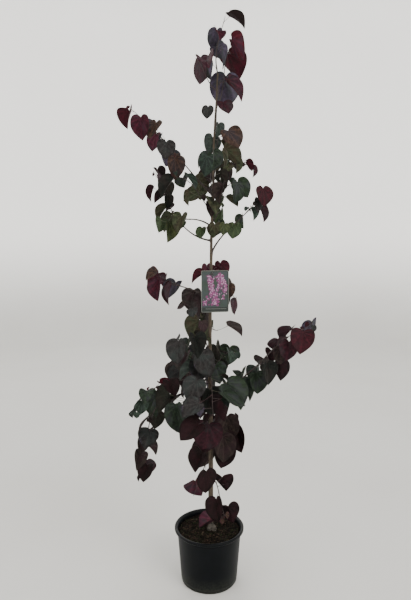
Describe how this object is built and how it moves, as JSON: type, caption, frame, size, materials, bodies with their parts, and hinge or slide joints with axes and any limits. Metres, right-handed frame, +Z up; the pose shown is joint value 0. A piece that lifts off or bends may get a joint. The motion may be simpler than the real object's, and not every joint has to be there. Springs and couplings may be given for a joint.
{
  "type": "potted redbud tree",
  "caption": "Young redbud tree in a nursery pot: a thin upright trunk, arching shoots and hanging heart-shaped leaves in wine, slate and green, with a plain picture label.",
  "frame": {"origin": "centre of the pot's flat underside", "axes": "+Z up along the trunk; +Y towards the back of the plant; +X to the right in the front view, where the label faces -Y"},
  "size_m": [0.6635, 0.579, 1.9764],
  "materials": {
    "pot": "injection-moulded black plastic, satin, faintly scuffed",
    "soil": "moist peat compost with bark crumbs",
    "bark": "thin grey-brown bark with small pale pores",
    "foliage": "smooth thin leaves, wine and slate purple turning green with age",
    "label": null,
    "tie": "thin black plastic tie"
  },
  "bodies": {
    "root": {"bough_back_low": "bark", "bough_back_upper": "bark", "bough_label_left": "bark", "bough_left_hang": "bark", "bough_left_low_side": "bark", "bough_left_mid": "bark", "bough_lower_left": "bark", "bough_lower_right": "bark", "bough_lower_right_low": "bark", "bough_right_arc": "bark", "bough_right_upper": "bark", "bough_upper_left": "bark", "foliage_back_foot": "foliage", "foliage_back_low": "foliage", "foliage_back_mid": "foliage", "foliage_back_upper": "foliage", "foliage_centre_left": "foliage", "foliage_collar_front": "foliage", "foliage_collar_right": "foliage", "foliage_crown_front": "foliage", "foliage_crown_left": "foliage", "foliage_crown_right": "foliage", "foliage_crown_side": "foliage", "foliage_foot_left": "foliage", "foliage_foot_right": "foliage", "foliage_front_low": "foliage", "foliage_label_back": "foliage", "foliage_label_left": "foliage", "foliage_label_right": "foliage", "foliage_label_side": "foliage", "foliage_label_under": "foliage", "foliage_leader": "foliage", "foliage_left_green": "foliage", "foliage_left_green_low": "foliage", "foliage_left_hang": "foliage", "foliage_left_low_side": "foliage", "foliage_left_mid": "foliage", "foliage_left_slate": "foliage", "foliage_low_left": "foliage", "foliage_lower_left": "foliage", "foliage_lower_right": "foliage", "foliage_lower_right_low": "foliage", "foliage_right_arc": "foliage", "foliage_right_green": "foliage", "foliage_right_inner": "foliage", "foliage_right_low": "foliage", "foliage_right_upper": "foliage", "foliage_under": "foliage", "foliage_upper_left": "foliage", "label_card": "label", "label_tie": "tie", "pot": "pot", "soil": "soil", "trunk": "bark"}
  },
  "joints": []
}
